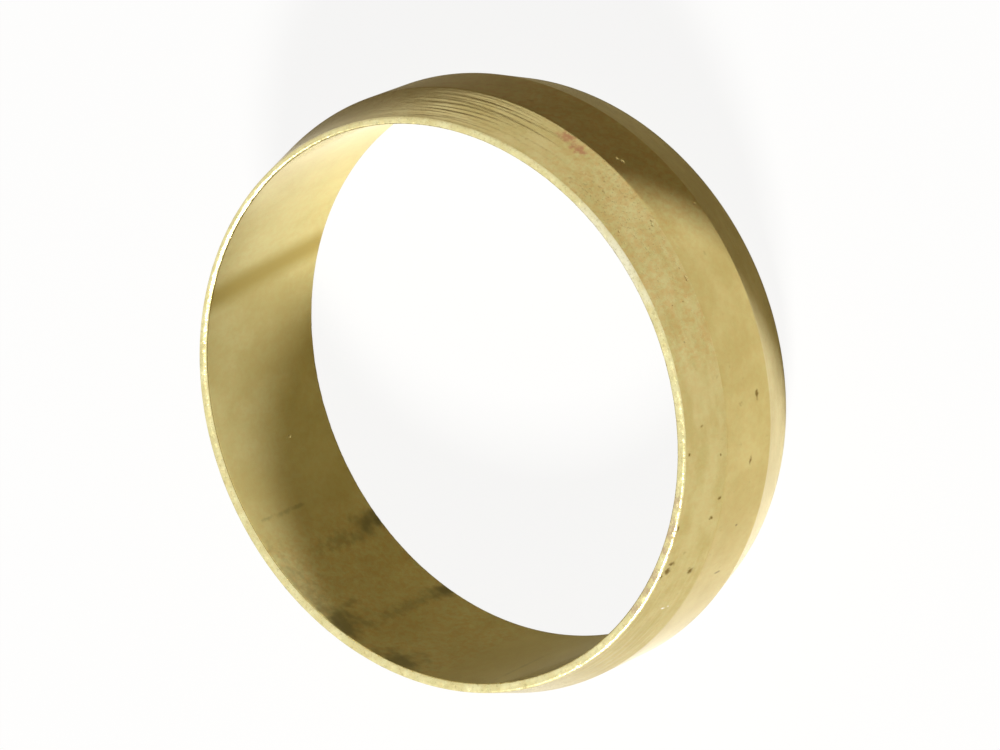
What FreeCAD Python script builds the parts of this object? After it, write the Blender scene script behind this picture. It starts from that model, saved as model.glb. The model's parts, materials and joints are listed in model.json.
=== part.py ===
"""Compression olive: a soft brass ring that a nut squeezes on to a pipe to make a watertight joint.

It is cut from drawn tube. Both ends are then turned to a cone, so that a plain band of the tube's
own skin is left round the middle and only a thin wall is left at each end face.

Millimetres. The bore's axis is +Z. The olive stands on its lower end face, whose centre is the origin.
"""

import FreeCAD, Part
import os

# The pipe that the olive slides on to
PIPE_DIAMETER = 28.0
PIPE_CLEARANCE = 0.1  # how much wider the bore is than the pipe, on the diameter

# The olive itself
LENGTH = 9.0  # from end face to end face
BAND_LENGTH = 3.8  # the plain band round the middle
TUBE_WALL = 1.2  # wall of the drawn tube, which the band keeps
END_WALL = 0.45  # wall that the cones leave at the end faces
EDGE_BREAK = 0.07  # radius that takes the sharpness off the end faces' edges

AXIS_FOOT = FreeCAD.Vector(0, 0, 0)
UP = FreeCAD.Vector(0, 0, 1)
FULL_TURN = 360

bore_radius = (PIPE_DIAMETER + PIPE_CLEARANCE) / 2
band_radius = bore_radius + TUBE_WALL
end_radius = bore_radius + END_WALL
cone_length = (LENGTH - BAND_LENGTH) / 2


def turned_section():
    """Half of the olive's cross-section: bore, lower end, lower cone, band, upper cone, upper end."""
    corners = [
        (bore_radius, 0),
        (end_radius, 0),
        (band_radius, cone_length),
        (band_radius, LENGTH - cone_length),
        (end_radius, LENGTH),
        (bore_radius, LENGTH),
    ]
    points = [FreeCAD.Vector(radius, 0, height) for radius, height in corners]
    outline = Part.makePolygon(points + points[:1])
    return Part.Face(outline)


def is_end_edge(edge):
    """True for the circles that bound the two end faces."""
    box = edge.BoundBox
    lies_flat = box.ZLength < EDGE_BREAK / 2
    height = box.ZMin
    return lies_flat and min(abs(height), abs(LENGTH - height)) < EDGE_BREAK / 2


def olive():
    """The whole ring: the section turned about the bore's axis, with the end faces' edges broken."""
    ring = turned_section().revolve(AXIS_FOOT, UP, FULL_TURN)
    end_edges = [edge for edge in ring.Edges if is_end_edge(edge)]
    return ring.makeFillet(EDGE_BREAK, end_edges)


os.makedirs("parts", exist_ok=True)
olive().exportStep("parts/olive.step")
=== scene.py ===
"""Compression olive: the turned brass ring, its four finishes and the studio that shows them.

Metres, in the part's own frame: the bore's axis is +Z, and the lower end face stands on the floor,
at z = 0. Angles round the ring are in degrees from -Y, the side that faces the camera, towards +X.
"""

import json
import math

import bmesh
import bpy
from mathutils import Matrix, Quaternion, Vector, noise


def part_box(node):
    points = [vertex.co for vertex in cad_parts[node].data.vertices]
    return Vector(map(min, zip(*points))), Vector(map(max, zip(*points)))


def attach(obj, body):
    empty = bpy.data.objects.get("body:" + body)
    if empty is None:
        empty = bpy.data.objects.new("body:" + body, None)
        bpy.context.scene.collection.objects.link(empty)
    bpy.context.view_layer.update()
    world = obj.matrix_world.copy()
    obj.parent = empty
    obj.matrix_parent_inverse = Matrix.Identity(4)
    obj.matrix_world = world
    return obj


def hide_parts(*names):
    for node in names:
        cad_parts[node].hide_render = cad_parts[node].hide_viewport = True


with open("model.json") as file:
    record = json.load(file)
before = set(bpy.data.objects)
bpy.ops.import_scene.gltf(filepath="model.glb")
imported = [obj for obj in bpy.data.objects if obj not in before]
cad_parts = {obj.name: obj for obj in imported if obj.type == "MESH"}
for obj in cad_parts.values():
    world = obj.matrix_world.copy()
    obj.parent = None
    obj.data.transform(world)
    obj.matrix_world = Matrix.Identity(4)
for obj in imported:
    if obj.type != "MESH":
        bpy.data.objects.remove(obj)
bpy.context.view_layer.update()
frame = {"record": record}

MM = 0.001
UP = Vector((0, 0, 1))

# The ring's sizes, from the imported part
mounts = {mount["name"]: mount["dims"] for mount in frame["record"]["mounts"]}
ring_low, ring_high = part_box("olive")
LENGTH = ring_high.z - ring_low.z
BAND_RADIUS = min(ring_high.x, -ring_low.x)
BORE_RADIUS = mounts["pipe_bore"]["r_mm"] * MM
CONE_LENGTH = mounts["upper_cone"]["length_mm"] * MM
END_RADIUS = 2 * mounts["upper_cone"]["r_mm"] * MM - BAND_RADIUS

# How fine the mesh is
SECTORS = 24
STEPS_IN_SECTOR = 25
UPPER_CONE_CUTS = 66
LOWER_CONE_CUTS = 24
STRAIGHT_CUTS = 5
FLAT_CUTS = 3
ROUNDING_STEPS = 5
SAME_PLACE = 0.0003 * MM
SUPPORT = 0.3 * MM  # from a corner to the point that keeps its shading off the long straight lines
MOUTH_SUPPORT = SUPPORT / 3  # the same below the bore's eased mouth

# Marks that the making left on the shape
END_ROUND = 0.11 * MM  # from an end face's outer corner to where its rounding starts
BORE_ROUND = 0.14 * MM  # the same at the bore
BAND_ROUND = 0.09 * MM  # the same at the corner between the upper cone and the band
LOWER_BAND_ROUND = 0.025 * MM  # the same at the lower cone, which is cut cleaner
DEEP_CUT = 0.15 * MM  # how much deeper the upper cone is cut on one side, as it was held off centre
DEEP_SIDE = 86  # the angle of that side
DEEP_SIDE_FALL = 1.5  # the power of the cosine by which the depth falls away from it
MOUTH_CUT = 0.15 * MM  # how much wider the bore's upper edge is broken on one side
MOUTH_DEPTH = 0.17 * MM  # from there to where the bore is plain
MOUTH_SIDE = 138  # the angle of that side
MOUTH_SIDE_FALL = 2  # the power of the cosine by which the cut falls away from it
TOOL_MARK_DEPTH = 0.0125 * MM  # the turning tool's wander on the cones
TOOL_MARK_PITCH = 0.15 * MM
TOOL_MARK_LENGTH = 4 * MM
TOOL_MARK_FADE = 0.35 * MM  # from a cone's end to where the marks are full
TOOL_MARK_SIDE = (14.4 * MM, 13.2 * MM)  # where the marks start and are full, along X
LOWER_CONE_SHARE = 0.12  # the lower cone is cut finer
BURR_DEPTH = 0.045 * MM  # how ragged the end faces' edges are
BURR_PITCH = 0.25 * MM
BURR_REACH = BORE_ROUND / 2  # how far in from an end face its raggedness goes
LEVEL_LINE = END_ROUND / 1000  # a line of the section that rises less than this is level


def on_ring(angle, radius, height):
    """The point at an angle round the ring, in degrees from the camera's side."""
    turn = math.radians(angle)
    return Vector((radius * math.sin(turn), -radius * math.cos(turn), height))


def outer_radius(height):
    """The ring's radius outside, at a height: full at the band and less along the cones."""
    up_the_cone = min(height, LENGTH - height, CONE_LENGTH) / CONE_LENGTH
    return END_RADIUS + (BAND_RADIUS - END_RADIUS) * up_the_cone


# Shape

def round_corners(bm, corners, reach):
    """Rounds corners of the flat section, starting at a given reach from each."""
    bmesh.ops.bevel(bm, geom=corners, offset=reach, offset_type="OFFSET", affect="VERTICES",
                    segments=ROUNDING_STEPS, profile=0.5, material=-1)


def cut_line(bm, line, cuts):
    """Divides one line of the section evenly."""
    bmesh.ops.subdivide_edges(bm, edges=[line], cuts=cuts)


def rise(line):
    """How far one line of the section goes up or down."""
    return abs(line.verts[0].co.z - line.verts[1].co.z)


def reach_out(line):
    """How far one line of the section goes away from the axis."""
    return abs(line.verts[0].co.x - line.verts[1].co.x)


def section(bm):
    """The ring's half section as a loop of lines, rounded at its corners."""
    outline = [
        (BORE_RADIUS, 0),
        (END_RADIUS, 0),
        (BAND_RADIUS, CONE_LENGTH),
        (BAND_RADIUS, CONE_LENGTH + SUPPORT),
        (BAND_RADIUS, LENGTH - CONE_LENGTH - SUPPORT),
        (BAND_RADIUS, LENGTH - CONE_LENGTH),
        (END_RADIUS, LENGTH),
        (BORE_RADIUS, LENGTH),
        (BORE_RADIUS, LENGTH - MOUTH_DEPTH),
        (BORE_RADIUS, LENGTH - MOUTH_DEPTH - MOUTH_SUPPORT),
        (BORE_RADIUS, SUPPORT),
    ]
    points = [bm.verts.new((radius, 0, height)) for radius, height in outline]
    bm.faces.new(points)
    bore_corners = [points[0], points[7]]
    end_corners = [points[1], points[6]]
    round_corners(bm, bore_corners, BORE_ROUND)
    round_corners(bm, end_corners, END_ROUND)
    round_corners(bm, [points[5]], BAND_ROUND)
    round_corners(bm, [points[2]], LOWER_BAND_ROUND)

    flats = [line for line in bm.edges if rise(line) < LEVEL_LINE]
    long_lines = [line for line in bm.edges if rise(line) > CONE_LENGTH / 2]
    cones = [line for line in long_lines if reach_out(line) > END_ROUND]
    straights = [line for line in long_lines if line not in cones]
    for line in flats:
        cut_line(bm, line, FLAT_CUTS)
    for line in straights:
        cut_line(bm, line, STRAIGHT_CUTS)
    for line in cones:
        upper = line.verts[0].co.z > LENGTH / 2
        cut_line(bm, line, UPPER_CONE_CUTS if upper else LOWER_CONE_CUTS)
    bmesh.ops.delete(bm, geom=bm.faces[:], context="FACES_ONLY")


def turn_round(bm):
    """Makes the whole ring of the section: one sector is spun, and then copied round."""
    sector = math.tau / SECTORS
    about = {"cent": (0, 0, 0), "axis": UP, "dvec": (0, 0, 0), "use_normal_flip": False}
    bmesh.ops.spin(bm, geom=bm.edges[:], angle=sector, steps=STEPS_IN_SECTOR,
                   use_duplicate=False, **about)
    whole_sector = bm.verts[:] + bm.edges[:] + bm.faces[:]
    bmesh.ops.spin(bm, geom=whole_sector, angle=math.tau - sector, steps=SECTORS - 1,
                   use_duplicate=True, **about)
    bmesh.ops.remove_doubles(bm, verts=bm.verts[:], dist=SAME_PLACE)
    bmesh.ops.recalc_face_normals(bm, faces=bm.faces[:])


def unevenness(point, along, across):
    """Noise in two layers, drawn out along the turning and fine along the ring's axis."""
    stretched = Vector((point.x / along, point.y / along, point.z / across))
    return noise.noise(stretched) + 0.5 * noise.noise(stretched * 2)


def share_between(value, start, full):
    """0 at the start, 1 where it is full and even steps between the two."""
    return min(max((value - start) / (full - start), 0), 1)


def deepen_cone(bm):
    """One side of the upper cone is cut deeper: its small end draws in and its corner moves down."""
    deep_side = on_ring(DEEP_SIDE, 1, 0).xy
    corner = LENGTH - CONE_LENGTH
    steepness = (BAND_RADIUS - END_RADIUS) / CONE_LENGTH
    for point in bm.verts:
        radius = point.co.xy.length
        depth = DEEP_CUT * max(point.co.xy.dot(deep_side) / radius, 0) ** DEEP_SIDE_FALL
        up_the_cone = share_between(point.co.z, corner, LENGTH)
        outside = share_between(radius, BORE_RADIUS, END_RADIUS)
        drawn_in = 1 - depth * up_the_cone * outside / radius
        near_corner = share_between(point.co.z, LENGTH / 2, corner) * (1 - up_the_cone)
        point.co.x *= drawn_in
        point.co.y *= drawn_in
        point.co.z -= near_corner * outside * depth / steepness


def ease_mouth(bm):
    """The bore's upper edge is broken more on one side: the bore opens out just below it."""
    eased_side = on_ring(MOUTH_SIDE, 1, 0).xy
    for point in bm.verts:
        radius = point.co.xy.length
        cut = MOUTH_CUT * max(point.co.xy.dot(eased_side) / radius, 0) ** MOUTH_SIDE_FALL
        near_mouth = share_between(point.co.z, LENGTH - MOUTH_DEPTH, LENGTH) ** 2
        inside = 1 - share_between(radius, BORE_RADIUS, END_RADIUS)
        opened = 1 + cut * near_mouth * inside / radius
        point.co.x *= opened
        point.co.y *= opened


def mark_cones(bm):
    """The turning tool leaves streaks round the cones: their points move in, never out."""
    for point in bm.verts:
        radius = point.co.xy.length
        from_end = min(point.co.z, LENGTH - point.co.z)
        if radius > END_RADIUS and END_ROUND < from_end < CONE_LENGTH - BAND_ROUND:
            share = LOWER_CONE_SHARE if point.co.z < LENGTH / 2 else 1
            share *= share_between(point.co.x, *TOOL_MARK_SIDE)
            fade = min(from_end, CONE_LENGTH - from_end, TOOL_MARK_FADE) / TOOL_MARK_FADE
            wander = max(0.5 + unevenness(point.co, TOOL_MARK_LENGTH, TOOL_MARK_PITCH), 0)
            deeper = 1 - TOOL_MARK_DEPTH * share * fade * wander / radius
            point.co.x *= deeper
            point.co.y *= deeper


def tear_ends(bm):
    """Cutting off leaves the end faces slightly ragged: their points move in, never out."""
    for point in bm.verts:
        depth_in = min(point.co.z, LENGTH - point.co.z)
        if depth_in < BURR_REACH:
            away = 1 if point.co.z < LENGTH / 2 else -1
            point.co.z += away * max(unevenness(point.co, BURR_PITCH, BURR_PITCH), 0) * BURR_DEPTH


FINISHES = ("bore", "end_face", "cone", "band")
END_FACE_TILT = 0.35  # a face that looks further up or down than this belongs to an end


def finish_of(face):
    """Which of the ring's finishes a face has, by where it lies and looks."""
    middle = face.calc_center_median()
    outward = face.normal.x * middle.x + face.normal.y * middle.y
    if abs(face.normal.z) > END_FACE_TILT:
        return "end_face"
    if outward < 0:
        return "bore"
    if CONE_LENGTH < middle.z < LENGTH - CONE_LENGTH:
        return "band"
    return "cone"


def olive_mesh(materials):
    """The whole ring, with its finishes."""
    bm = bmesh.new()
    section(bm)
    turn_round(bm)
    for face in bm.faces:
        face.material_index = FINISHES.index(finish_of(face))
        face.smooth = True
    mark_cones(bm)
    ease_mouth(bm)
    deepen_cone(bm)
    tear_ends(bm)
    mesh = bpy.data.meshes.new("olive_brass")
    bm.to_mesh(mesh)
    bm.free()
    for name in FINISHES:
        mesh.materials.append(materials[name])
    return mesh


# Nodes

def add(tree, kind, feeds=None, **settings):
    """Adds a node with its settings, and feeds its inputs with values or other nodes' outputs."""
    made = tree.nodes.new(kind)
    for name, value in settings.items():
        setattr(made, name, value)
    for name, value in (feeds or {}).items():
        if isinstance(value, bpy.types.NodeSocket):
            tree.links.new(value, made.inputs[name])
        else:
            made.inputs[name].default_value = value
    return made


def calculate(tree, operation, first, second=0.0):
    """One step of arithmetic on values."""
    return add(tree, "ShaderNodeMath", {0: first, 1: second}, operation=operation).outputs[0]


def vector_step(tree, operation, first, second):
    """One step of arithmetic on vectors."""
    return add(tree, "ShaderNodeVectorMath", {0: first, 1: second}, operation=operation).outputs


def ramp(tree, value, low, high, to_low=0.0, to_high=1.0):
    """Spreads the values from low to high smoothly over another range."""
    feeds = {"Value": value, "From Min": low, "From Max": high, "To Min": to_low, "To Max": to_high}
    return add(tree, "ShaderNodeMapRange", feeds, interpolation_type="SMOOTHSTEP").outputs["Result"]


def mix_colour(tree, share, first, second, blend="MIX"):
    """From the first colour to the second, by a share."""
    feeds = {0: share, 6: first, 7: second}
    return add(tree, "ShaderNodeMix", feeds, data_type="RGBA", blend_type=blend).outputs[2]


def stretched_noise(tree, place, per_metre, detail=2.0, roughness=0.6):
    """Noise with so many features to the metre along X, Y and Z."""
    scaled = vector_step(tree, "MULTIPLY", place, per_metre)["Vector"]
    feeds = {"Vector": scaled, "Scale": 1.0, "Detail": detail, "Roughness": roughness}
    return add(tree, "ShaderNodeTexNoise", feeds).outputs["Fac"]


def new_group(name, inputs, outputs):
    """An empty node group with named sockets, and its own input and output nodes."""
    group = bpy.data.node_groups.new(name, "ShaderNodeTree")
    for way, sockets in (("INPUT", inputs), ("OUTPUT", outputs)):
        for socket_name, socket_type in sockets.items():
            group.interface.new_socket(socket_name, in_out=way, socket_type=socket_type)
    return group, group.nodes.new("NodeGroupInput").outputs, group.nodes.new("NodeGroupOutput").inputs


VALUE = "NodeSocketFloat"
VECTOR = "NodeSocketVector"
COLOUR = "NodeSocketColor"

# A thin film on brass breaks its colour up a little, towards red here and green there
RED_CAST = (1.0, 0.6, 0.4, 1)
GREEN_CAST = (1.1, 1.3, 1.4, 1)
CAST_PER_METRE = (3000, 3000, 2300)
THIN_FILM = 0.12
THICK_FILM = 0.33

# The stretches of noise over which things change
PATCH_EDGE = (0.35, 0.65)  # from bright brass to dull
CAST_EDGE = (0.34, 0.66)  # from the red cast to the green
RAGGED_EDGE = (0.25, 0.75)  # from the inmost edge of a mark to the outmost
ROUGH_EDGE = (0.3, 0.7)  # from the smoothest place of a finish to the roughest
DENT_EDGE = 0.16  # from the edge of a dent to where it is full


def tarnish_group():
    """Brass that has dulled in soft patches, under a film that breaks its colour up."""
    group, given, out = new_group(
        "tarnish",
        {"Place": VECTOR, "Patches": VECTOR, "Amount": VALUE,
         "Bright": COLOUR, "Dull": COLOUR, "Film": VALUE},
        {"Colour": COLOUR, "Dullness": VALUE},
    )
    patches = stretched_noise(group, given["Place"], given["Patches"], detail=5.0)
    dullness = calculate(group, "MULTIPLY", ramp(group, patches, *PATCH_EDGE), given["Amount"])
    brass = mix_colour(group, dullness, given["Bright"], given["Dull"])
    film = stretched_noise(group, given["Place"], CAST_PER_METRE, detail=5.0, roughness=0.75)
    cast = mix_colour(group, ramp(group, film, *CAST_EDGE), RED_CAST, GREEN_CAST)
    group.links.new(dullness, out["Dullness"])
    group.links.new(mix_colour(group, given["Film"], brass, cast, "MULTIPLY"), out["Colour"])
    return group


def grit_group():
    """Irregular dents scattered over a worked surface: 1 in a dent and 0 between them."""
    group, given, out = new_group(
        "grit",
        {"Place": VECTOR, "Per metre": VECTOR, "From": VALUE},
        {"Dent": VALUE},
    )
    grain = stretched_noise(group, given["Place"], given["Per metre"])
    full = calculate(group, "ADD", given["From"], DENT_EDGE)
    group.links.new(ramp(group, grain, given["From"], full), out["Dent"])
    return group


def mark_group():
    """One mark, such as a stain, a dark patch, a knock or a painted glint: 1 inside its edge and 0
    outside.
    """
    group, given, out = new_group(
        "mark",
        {"Place": VECTOR, "Centre": VECTOR, "Reach": VECTOR, "Ragged": VALUE, "Softness": VALUE},
        {"Mask": VALUE},
    )
    offset = vector_step(group, "SUBTRACT", given["Place"], given["Centre"])["Vector"]
    in_reaches = vector_step(group, "DIVIDE", offset, given["Reach"])["Vector"]
    away = add(group, "ShaderNodeVectorMath", {0: in_reaches}, operation="LENGTH").outputs["Value"]
    edge = calculate(group, "ADD", away, given["Ragged"])
    start = calculate(group, "SUBTRACT", 1.0, given["Softness"])
    group.links.new(ramp(group, edge, start, 1.0, 1.0, 0.0), out["Mask"])
    return group


tarnish = tarnish_group()
grit = grit_group()
mark = mark_group()


def new_finish(name):
    """A brass material before its looks: its nodes, its shader and each point's place on the ring."""
    material = bpy.data.materials.new(name)
    material.use_nodes = True
    tree = material.node_tree
    shader = tree.nodes["Principled BSDF"]
    shader.inputs["Metallic"].default_value = 1.0
    place = add(tree, "ShaderNodeTexCoord").outputs["Object"]
    return material, tree, shader, place


def tarnished(tree, place, patches, amount, bright, dull, film):
    """The tarnish group's outputs, Colour and Dullness, with a finish's own values."""
    feeds = {"Place": place, "Patches": patches, "Amount": amount,
             "Bright": bright, "Dull": dull, "Film": film}
    return add(tree, "ShaderNodeGroup", feeds, node_tree=tarnish).outputs


def dents(tree, place, per_metre, start):
    """The grit group's dents, with a finish's own values."""
    feeds = {"Place": place, "Per metre": per_metre, "From": start}
    return add(tree, "ShaderNodeGroup", feeds, node_tree=grit).outputs["Dent"]


def inside(tree, place, edges):
    """1 in one part of the ring. Each edge is an axis, and where along it the part starts and is full."""
    axes = add(tree, "ShaderNodeSeparateXYZ", {0: place}).outputs
    share = 1.0
    for axis, none, full in edges:
        share = calculate(tree, "MULTIPLY", ramp(tree, axes[axis], none, full), share)
    return share


def film_inside(tree, place, edges):
    """The film is thick in one part of the ring and thin elsewhere."""
    return ramp(tree, inside(tree, place, edges), 0.0, 1.0, THIN_FILM, THICK_FILM)


def marked(tree, place, marks, radius_at, softness, ragged_per_metre, raggedness):
    """1 inside any of the marks. Each is an angle, a height, half a width and half a length."""
    uneven = stretched_noise(tree, place, (ragged_per_metre,) * 3)
    ragged = ramp(tree, uneven, *RAGGED_EDGE, -raggedness, raggedness)
    covered = 0.0
    for angle, height, across, along in marks:
        centre = on_ring(angle, radius_at(height * MM), height * MM)
        reach = (across * MM, across * MM, along * MM)
        feeds = {"Place": place, "Centre": centre, "Reach": reach,
                 "Ragged": ragged, "Softness": softness}
        mask = add(tree, "ShaderNodeGroup", feeds, node_tree=mark).outputs["Mask"]
        covered = calculate(tree, "MAXIMUM", mask, covered)
    return covered


SCRATCH_DOT = (0.15, 0.024)  # half the width and half the length of each mark in a scratch


def scratch(start, end, steps):
    """A broken scratch: small marks from one angle and height to another."""
    (first_angle, first_height), (last_angle, last_height) = start, end
    for step in range(steps):
        share = step / (steps - 1)
        angle = first_angle + (last_angle - first_angle) * share
        height = first_height + (last_height - first_height) * share
        yield (angle, height, *SCRATCH_DOT)


def finish_surface(tree, shader, colour, roughness, relief):
    """Feeds the shader: a colour, a roughness and patterns in relief, with their millimetres."""
    height = 0.0
    for pattern, depth in relief:
        feeds = {0: pattern, 1: depth, 2: height}
        height = add(tree, "ShaderNodeMath", feeds, operation="MULTIPLY_ADD").outputs[0]
    bump = add(tree, "ShaderNodeBump", {"Height": height, "Distance": MM, "Strength": 1.0})
    tree.links.new(colour, shader.inputs["Base Color"])
    tree.links.new(roughness, shader.inputs["Roughness"])
    tree.links.new(bump.outputs["Normal"], shader.inputs["Normal"])


# Brass as it shows under plain white light, except that the band's is painted a little darker, as painted
# shade, and the bore's a little lighter, as painted light
TURNED_BRASS = (0.655, 0.56, 0.255, 1)
TURNED_DULL = (0.55, 0.455, 0.175, 1)
# Painted shade: the band's brass is a little darker than the cone's
BAND_BRASS = (0.62, 0.52, 0.22, 1)
BAND_DULL = (0.52, 0.415, 0.15, 1)
# Painted light: the bore's brass is a little lighter than the cone's
BORE_BRASS = (0.665, 0.59, 0.28, 1)
BORE_DULL = (0.57, 0.48, 0.195, 1)
CUT_BRASS = (0.8, 0.73, 0.39, 1)
CUT_DULL = (0.7, 0.62, 0.29, 1)
STAIN_OLIVE = (0.22, 0.15, 0.035, 1)
# Painted sheen: the paler, whiter brass of a patch on the upper end face
CUT_SHEEN_PALE = (0.82, 0.77, 0.53, 1)
# Painted shade: the dark brass of specks on the end faces, as if in pits
CUT_PIT_SHADE = (0.4, 0.34, 0.15, 1)
COPPER_RED = (0.5, 0.35, 0.22, 1)
COPPER_STAIN = (0.52, 0.26, 0.13, 1)
# Painted highlight: near-white brass painted where the cone shows a glint
PAINTED_GLINT_WHITE = (1, 0.98, 0.93, 1)
# A darker olive for soft patches near the bore's ends and for faint lines in it
BORE_DARK_OLIVE = (0.29, 0.255, 0.11, 1)
# Painted reflection: the olive of a shadow that the bore mirrors
MIRRORED_SHADOW_OLIVE = (0.44, 0.34, 0.095, 1)

# Stains, dark patches, painted glints and painted sheen: angle, height, half the width and half the
# length, in degrees and millimetres
CONE_STAINS = [(-52.4, 8.62, 0.34, 0.27), (-50.9, 8.55, 0.2, 0.22), (-53.0, 7.12, 0.27, 0.3),
               (-41.7, 6.92, 0.13, 0.17), (-37.9, 6.6, 0.13, 0.14), (-29.3, 6.8, 0.11, 0.11),
               (-22.9, 7.9, 0.1, 0.14), (-27.8, 8.7, 0.14, 0.12), (-53.6, 8.86, 0.3, 0.13),
               (-42.7, 8.87, 0.34, 0.12)]
CONE_REDS = [(38.6, 6.45, 0.75, 0.5), (35.3, 6.65, 0.75, 0.5)]
# Painted highlights: two small glints on the upper cone, painted near white
CONE_GLINTS = [(-62.4, 7.5, 0.09, 0.15), (-61.9, 7.25, 0.06, 0.08)]
BAND_STAINS = [(-20.7, 3.66, 0.34, 0.17), (-32.8, 4.26, 0.28, 0.17), (-56.3, 4.46, 0.1, 0.36),
               (-45.6, 4.43, 0.09, 0.17)]
# Soft darker patches near both ends of the bore
BORE_DARK_PATCHES = [(215.7, 9.0, 1.85, 2.8), (231.2, 9.0, 1.85, 2.9), (197.0, 0.4, 0.95, 3.6),
               (218.4, 0.4, 0.7, 2.8)]
BORE_LINES = [(187.8, 7.6, 0.14, 1.0), (187.9, 6.2, 0.22, 0.9), (188.0, 5.1, 0.14, 0.9),
              (254.0, 5.5, 0.16, 3.4), (211.8, 6.4, 0.35, 0.9), (198.0, 3.6, 0.7, 2.4),
              (203.0, 9.2, 3.2, 2.6), (218.3, 4.0, 0.55, 4.0)]
# Painted sheen: a paler patch on the upper end face, on the side where it shows whitish
END_SHEEN_PATCH = [(14.0, 9.0, 4.5, 1.0)]
END_REDS = [(-63.0, 9.0, 0.6, 0.3), (-58.0, 9.0, 0.4, 0.3), (-54.3, 9.0, 0.6, 0.3),
            (-48.0, 9.0, 0.35, 0.3), (-43.5, 9.0, 0.9, 0.3), (-37.3, 9.0, 0.5, 0.3)]

# The parts of the ring where the film is thick and where the upper cone was knocked about
UPPER_HALF = ("Z", LENGTH * 0.4, LENGTH * 0.6)
FRONT = ("Y", 0, -5 * MM)
CONE_FILM = [UPPER_HALF, FRONT, ("X", -4.5 * MM, -1.5 * MM), ("X", 10.5 * MM, 7.5 * MM)]
BAND_FILM = [FRONT, ("X", 1 * MM, 5 * MM)]
BORE_FILM = [("X", -1 * MM, -5 * MM), ("Y", 6.4 * MM, 7.4 * MM)]
KNOCKED_PART = [UPPER_HALF, FRONT, ("X", -4.5 * MM, 2.5 * MM), ("X", 9 * MM, 6 * MM)]
FEW_SPECKS = 0.15  # the share of the specks outside the knocked part

# Knocks that catch the light
CONE_KNOCKS = [(-6.8, 7.96, 0.06, 0.07), (0.3, 7.88, 0.06, 0.07), (0.2, 7.23, 0.05, 0.07),
               (3.0, 8.9, 0.06, 0.06), (17.2, 8.42, 0.07, 0.09), (21.8, 8.34, 0.07, 0.05),
               (21.6, 7.68, 0.05, 0.06), (14.9, 6.9, 0.05, 0.07), (15.3, 6.62, 0.16, 0.1),
               (16.1, 6.5, 0.15, 0.1), (4.0, 6.52, 0.2, 0.08), (6.1, 6.6, 0.06, 0.06),
               (10.5, 6.65, 0.05, 0.06), (12.1, 6.6, 0.05, 0.06), (20.0, 6.8, 0.05, 0.07)]
CONE_SCRATCHES = [*scratch((11.2, 7.66), (13.2, 7.72), 5), *scratch((14.4, 7.82), (17.4, 7.96), 6)]
BAND_KNOCKS = [(28.9, 5.15, 0.14, 0.12), (29.9, 5.3, 0.1, 0.1), (16.0, 2.9, 0.05, 0.14)]
BORE_KNOCKS = [(174.0, 3.5, 0.1, 0.2)]

# Painted reflection: a soft dark strip down the bore, where it mirrors a shadow, that leans a little to
# one side
SHADOW_STRIP_FOOT = math.radians(134.8)
SHADOW_STRIP_LEAN = math.radians(0.48) / MM
SHADOW_STRIP_HALF = math.radians(4.9)
SHADOW_STRIP_CORE = math.radians(0.4)

# The edges of the marks: how soft, how many waves to the metre, and how far they wander
STAIN_EDGE = (1.0, 5000, 0.35)
RED_EDGE = (1.0, 4000, 0.35)
GLINT_EDGE = (0.8, 8000, 0.3)
KNOCK_EDGE = (0.95, 8000, 0.3)
SCRATCH_EDGE = (1.0, 3000, 0.5)
DARK_PATCH_EDGE = (1.0, 900, 0.35)
LINE_EDGE = (1.0, 2500, 0.4)
SHEEN_PATCH_EDGE = (1.0, 900, 0.3)
END_RED_EDGE = (1.0, 5000, 0.5)

# How much of a mark's own colour shows
RED_SHARE = 0.9
END_RED_SHARE = 0.7
SPOT_SHARE = 0.3
LINE_SHARE = 0.45
PIT_SHADE_SHARE = 0.4
STAINED_METALLIC = 0.92

# How much of the brass has dulled, in patches of so many to the metre along X, Y and Z
TARNISH = 0.8
END_TARNISH = 0.9
CONE_PATCHES = (400, 400, 900)
BAND_PATCHES = (300, 300, 300)
BORE_PATCHES = (260, 260, 160)
END_PATCHES = (900, 900, 900)

# Patterns of so many waves to the metre along X, Y and Z
TURNED_LINES = (250, 250, 9000)
TURNED_GRAIN = (5000, 5000, 5000)
BAND_GRAIN = (2500, 2500, 1200)
DRAWN_LINES = (2600, 2600, 90)
TORN_GRAIN = (3300, 3300, 3300)

# Dents of so many to the metre, and the level of noise at which they start
CONE_SPOTS = ((1700, 1700, 1700), 0.66)
BAND_SPOTS = ((1700, 1700, 1700), 0.64)
CONE_SPECKS = ((8000, 8000, 8000), 0.56)
BAND_SPECKS = ((3000, 3000, 3000), 0.73)
BORE_SPECKS = ((2500, 2500, 2500), 0.74)
# Painted shade: dark specks on the end faces, in colour only, with no relief
END_PIT_SHADE = ((6000, 6000, 6000), 0.54)

# Relief, in millimetres: what goes into the brass is negative
TURNED_LINE_HEIGHT = 0.006
TURNED_GRAIN_HEIGHT = 0.006
CONE_SPECK_HEIGHT = -0.013
CONE_KNOCK_HEIGHT = -0.05
SCRATCH_HEIGHT = -0.014
BAND_GRAIN_HEIGHT = 0.001
DRAWN_LINE_HEIGHT = 0.0006
DRAWN_SPECK_HEIGHT = -0.02
DRAWN_KNOCK_HEIGHT = -0.04
TORN_HEIGHT = 0.045

# Roughness, from the smoothest place of a finish to the roughest
TURNED_ROUGHNESS = (0.13, 0.2)
BAND_ROUGHNESS = (0.09, 0.13)
BORE_ROUGHNESS = (0.08, 0.12)
TORN_ROUGHNESS = (0.25, 0.4)


def bore_radius(height):
    """The bore is plain, so its radius is the same at every height."""
    return BORE_RADIUS


def end_radius(height):
    """Halfway across an end face."""
    return (BORE_RADIUS + END_RADIUS) / 2


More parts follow.
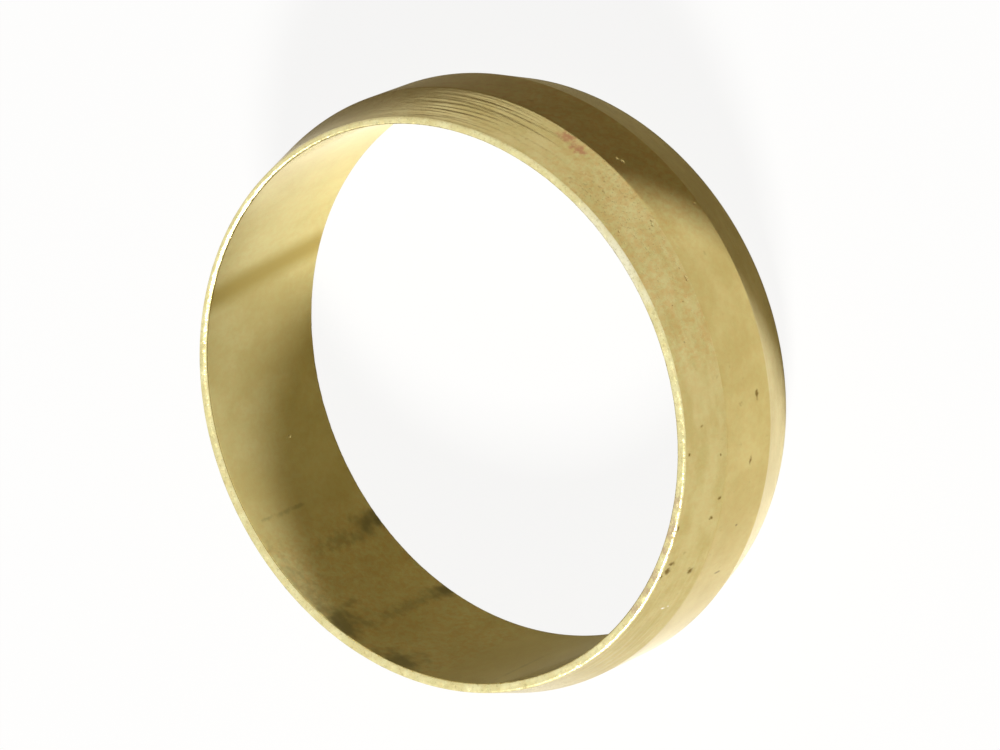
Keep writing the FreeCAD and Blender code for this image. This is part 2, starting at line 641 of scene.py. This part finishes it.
def turned_cone():
    """The cones: fine turning lines round the axis, a gritty cut, knocks, a few stains and two painted
    glints.
    """
    material, tree, shader, place = new_finish("turned_cone_brass")
    film = film_inside(tree, place, CONE_FILM)
    brass = tarnished(tree, place, CONE_PATCHES, TARNISH, TURNED_BRASS, TURNED_DULL, film)
    stains = marked(tree, place, CONE_STAINS, outer_radius, *STAIN_EDGE)
    colour = mix_colour(tree, stains, brass["Colour"], STAIN_OLIVE)
    reds = marked(tree, place, CONE_REDS, outer_radius, *RED_EDGE)
    colour = mix_colour(tree, calculate(tree, "MULTIPLY", reds, RED_SHARE), colour, COPPER_STAIN)
    tree.links.new(ramp(tree, reds, 0.0, 1.0, 1.0, STAINED_METALLIC), shader.inputs["Metallic"])
    # painted highlight: the glints are painted near white
    glints = marked(tree, place, CONE_GLINTS, outer_radius, *GLINT_EDGE)
    colour = mix_colour(tree, glints, colour, PAINTED_GLINT_WHITE)
    spots = calculate(tree, "MULTIPLY", dents(tree, place, *CONE_SPOTS), SPOT_SHARE)
    colour = mix_colour(tree, spots, colour, STAIN_OLIVE)
    lines = stretched_noise(tree, place, TURNED_LINES, detail=3.0)
    grain = stretched_noise(tree, place, TURNED_GRAIN)
    knocked = ramp(tree, inside(tree, place, KNOCKED_PART), 0.0, 1.0, FEW_SPECKS, 1.0)
    specks = calculate(tree, "MULTIPLY", dents(tree, place, *CONE_SPECKS), knocked)
    knocks = marked(tree, place, CONE_KNOCKS, outer_radius, *KNOCK_EDGE)
    scratches = marked(tree, place, CONE_SCRATCHES, outer_radius, *SCRATCH_EDGE)
    relief = [
        (lines, TURNED_LINE_HEIGHT),
        (grain, TURNED_GRAIN_HEIGHT),
        (specks, CONE_SPECK_HEIGHT),
        (knocks, CONE_KNOCK_HEIGHT),
        (scratches, SCRATCH_HEIGHT),
    ]
    roughness = ramp(tree, grain, *ROUGH_EDGE, *TURNED_ROUGHNESS)
    finish_surface(tree, shader, colour, roughness, relief)
    round_the_axis = add(tree, "ShaderNodeTangent", direction_type="RADIAL", axis="Z")
    tree.links.new(round_the_axis.outputs["Tangent"], shader.inputs["Tangent"])
    shader.inputs["Anisotropic"].default_value = 0.4
    shader.inputs["Anisotropic Rotation"].default_value = 0.25
    return material


def drawn_band():
    """The band: the drawn tube's own smooth skin, faintly uneven, with a few stains."""
    material, tree, shader, place = new_finish("drawn_band_brass")
    film = film_inside(tree, place, BAND_FILM)
    brass = tarnished(tree, place, BAND_PATCHES, TARNISH, BAND_BRASS, BAND_DULL, film)
    stains = marked(tree, place, BAND_STAINS, outer_radius, *STAIN_EDGE)
    colour = mix_colour(tree, stains, brass["Colour"], STAIN_OLIVE)
    spots = calculate(tree, "MULTIPLY", dents(tree, place, *BAND_SPOTS), SPOT_SHARE)
    colour = mix_colour(tree, spots, colour, STAIN_OLIVE)
    grain = stretched_noise(tree, place, BAND_GRAIN)
    specks = dents(tree, place, *BAND_SPECKS)
    knocks = marked(tree, place, BAND_KNOCKS, outer_radius, *KNOCK_EDGE)
    relief = [(grain, BAND_GRAIN_HEIGHT), (specks, DRAWN_SPECK_HEIGHT), (knocks, DRAWN_KNOCK_HEIGHT)]
    roughness = ramp(tree, brass["Dullness"], 0.0, TARNISH, *BAND_ROUGHNESS)
    finish_surface(tree, shader, colour, roughness, relief)
    return material


def drawn_bore():
    """The bore: drawn smooth, with faint lines along the axis, soft dark patches and one long strip of
    painted reflection, a mirrored shadow.
    """
    material, tree, shader, place = new_finish("drawn_bore_brass")
    film = film_inside(tree, place, BORE_FILM)
    brass = tarnished(tree, place, BORE_PATCHES, TARNISH, BORE_BRASS, BORE_DULL, film)
    dark_patches = marked(tree, place, BORE_DARK_PATCHES, bore_radius, *DARK_PATCH_EDGE)
    colour = mix_colour(tree, dark_patches, brass["Colour"], BORE_DARK_OLIVE)
    faint = marked(tree, place, BORE_LINES, bore_radius, *LINE_EDGE)
    colour = mix_colour(tree, calculate(tree, "MULTIPLY", faint, LINE_SHARE), colour, BORE_DARK_OLIVE)
    # painted reflection: a dark strip down the bore where it mirrors a shadow
    axes = add(tree, "ShaderNodeSeparateXYZ", {0: place}).outputs
    angle = calculate(tree, "ARCTAN2", axes["X"], calculate(tree, "MULTIPLY", axes["Y"], -1.0))
    leaning = calculate(tree, "SUBTRACT", angle, calculate(tree, "MULTIPLY", axes["Z"], SHADOW_STRIP_LEAN))
    beside = calculate(tree, "ABSOLUTE", calculate(tree, "SUBTRACT", leaning, SHADOW_STRIP_FOOT))
    mirrored_shadow = ramp(tree, beside, SHADOW_STRIP_CORE, SHADOW_STRIP_HALF, 1.0, 0.0)
    colour = mix_colour(tree, mirrored_shadow, colour, MIRRORED_SHADOW_OLIVE)
    lines = stretched_noise(tree, place, DRAWN_LINES, detail=3.0)
    specks = dents(tree, place, *BORE_SPECKS)
    knocks = marked(tree, place, BORE_KNOCKS, bore_radius, *KNOCK_EDGE)
    relief = [(lines, DRAWN_LINE_HEIGHT), (specks, DRAWN_SPECK_HEIGHT), (knocks, DRAWN_KNOCK_HEIGHT)]
    roughness = ramp(tree, brass["Dullness"], 0.0, TARNISH, *BORE_ROUGHNESS)
    finish_surface(tree, shader, colour, roughness, relief)
    return material


def cut_end():
    """The end faces: parted off, so pale, rough and torn, with a reddish stain, a patch of painted sheen
    and dark specks of painted shade.
    """
    material, tree, shader, place = new_finish("cut_end_brass")
    brass = tarnished(tree, place, END_PATCHES, END_TARNISH, CUT_BRASS, CUT_DULL, THIN_FILM)
    # painted sheen: a paler patch on one side of the upper end face
    painted_sheen = marked(tree, place, END_SHEEN_PATCH, end_radius, *SHEEN_PATCH_EDGE)
    colour = mix_colour(tree, painted_sheen, brass["Colour"], CUT_SHEEN_PALE)
    reds = marked(tree, place, END_REDS, end_radius, *END_RED_EDGE)
    colour = mix_colour(tree, calculate(tree, "MULTIPLY", reds, END_RED_SHARE), colour, COPPER_RED)
    # painted shade: dark specks as if in pits, in colour only
    pit_shade = calculate(tree, "MULTIPLY", dents(tree, place, *END_PIT_SHADE), PIT_SHADE_SHARE)
    colour = mix_colour(tree, pit_shade, colour, CUT_PIT_SHADE)
    torn = stretched_noise(tree, place, TORN_GRAIN, detail=4.0)
    roughness = ramp(tree, torn, *ROUGH_EDGE, *TORN_ROUGHNESS)
    finish_surface(tree, shader, colour, roughness, [(torn, TORN_HEIGHT)])
    return material


# Studio

WHITE = (1, 1, 1, 1)
PAPER = (0.95, 0.95, 0.92, 1)
WARM_FILL = (0.11, 0.07, 0.022, 1)  # the light that reaches the floor and the ring from all round
FLOOR_SIZE = 3.0
FLOOR_GLOW = 0.9  # the share of the floor's white that no shadow takes away, as the camera sees it
MIRRORED_GLOW = 0.05  # the same, as the brass mirrors it


def direction(angle, elevation):
    """The unit vector that looks in a direction from the ring."""
    lift = math.radians(elevation)
    return on_ring(angle, math.cos(lift), math.sin(lift))


def mirrored_rays(tree, paths):
    """1 for what shows in metal or through glass."""
    return calculate(tree, "MAXIMUM", paths["Is Glossy Ray"], paths["Is Transmission Ray"])


def studio():
    """The room round the ring: white to the camera and in the brass, and a dim warm fill as light."""
    world = bpy.data.worlds.new("studio")
    bpy.context.scene.world = world
    world.use_nodes = True
    tree = world.node_tree
    paths = add(tree, "ShaderNodeLightPath").outputs
    seen = calculate(tree, "MAXIMUM", paths["Is Camera Ray"], mirrored_rays(tree, paths))
    shown = mix_colour(tree, seen, WARM_FILL, WHITE)
    tree.links.new(shown, tree.nodes["Background"].inputs["Color"])


def floor():
    """A white floor that keeps the ring's shadow, for the camera and in the brass."""
    bm = bmesh.new()
    bmesh.ops.create_grid(bm, x_segments=1, y_segments=1, size=FLOOR_SIZE)
    mesh = bpy.data.meshes.new("floor")
    bm.to_mesh(mesh)
    bm.free()
    material = bpy.data.materials.new("white_floor")
    material.use_nodes = True
    tree = material.node_tree
    tree.nodes.remove(tree.nodes["Principled BSDF"])
    paper = add(tree, "ShaderNodeBsdfDiffuse", {"Color": PAPER}).outputs[0]
    white = add(tree, "ShaderNodeEmission", {"Strength": 1.0}).outputs[0]
    paths = add(tree, "ShaderNodeLightPath").outputs
    seen = calculate(tree, "MULTIPLY", paths["Is Camera Ray"], FLOOR_GLOW)
    mirrored = calculate(tree, "MULTIPLY", mirrored_rays(tree, paths), MIRRORED_GLOW)
    share = calculate(tree, "MAXIMUM", seen, mirrored)
    mixed = add(tree, "ShaderNodeMixShader", {0: share, 1: paper, 2: white}).outputs[0]
    tree.links.new(mixed, tree.nodes["Material Output"].inputs["Surface"])
    mesh.materials.append(material)
    plane = bpy.data.objects.new("floor", mesh)
    bpy.context.scene.collection.objects.link(plane)


KEY_LAMP = {"angle": -105, "elevation": 42, "distance": 0.7, "size": 0.15, "watts": 6.2}


def soft_lamp(name, angle, elevation, distance, size, watts):
    """A square lamp that looks at the ring."""
    data = bpy.data.lights.new(name, "AREA")
    data.size = size
    data.energy = watts
    lamp = bpy.data.objects.new(name, data)
    away = direction(angle, elevation)
    lamp.location = away * distance
    lamp.rotation_mode = "QUATERNION"
    lamp.rotation_quaternion = (-away).to_track_quat("-Z", "Y")
    lamp.visible_camera = False
    bpy.context.scene.collection.objects.link(lamp)


CAMERA_ELEVATION = 51.72
CAMERA_ROLL = -112.77  # the photograph holds the ring's axis nearly level
CAMERA_DISTANCE = 351.25 * MM
CAMERA_LENS = 257.0
AIM_RIGHT = 0.552 * MM  # from the ring's middle to the picture's
AIM_UP = 0.452 * MM


def camera():
    """The photograph's view: from above, with a long lens and the ring's axis turned to the left."""
    data = bpy.data.cameras.new("camera")
    data.lens = CAMERA_LENS
    data.clip_start = 0.01
    view = bpy.data.objects.new("camera", data)
    back = direction(0, CAMERA_ELEVATION)
    turn = (-back).to_track_quat("-Z", "Y") @ Quaternion(UP, math.radians(CAMERA_ROLL))
    middle = UP * LENGTH / 2
    view.location = middle + turn @ Vector((AIM_RIGHT, AIM_UP, CAMERA_DISTANCE))
    view.rotation_mode = "QUATERNION"
    view.rotation_quaternion = turn
    bpy.context.scene.collection.objects.link(view)
    bpy.context.scene.camera = view


materials = {"bore": drawn_bore(), "end_face": cut_end(), "cone": turned_cone(), "band": drawn_band()}
ring = bpy.data.objects.new("olive_ring", olive_mesh(materials))
bpy.context.scene.collection.objects.link(ring)
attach(ring, "root")
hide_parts("olive")

floor()
studio()
soft_lamp("key_lamp", **KEY_LAMP)
camera()
bpy.context.scene.view_settings.view_transform = "Standard"
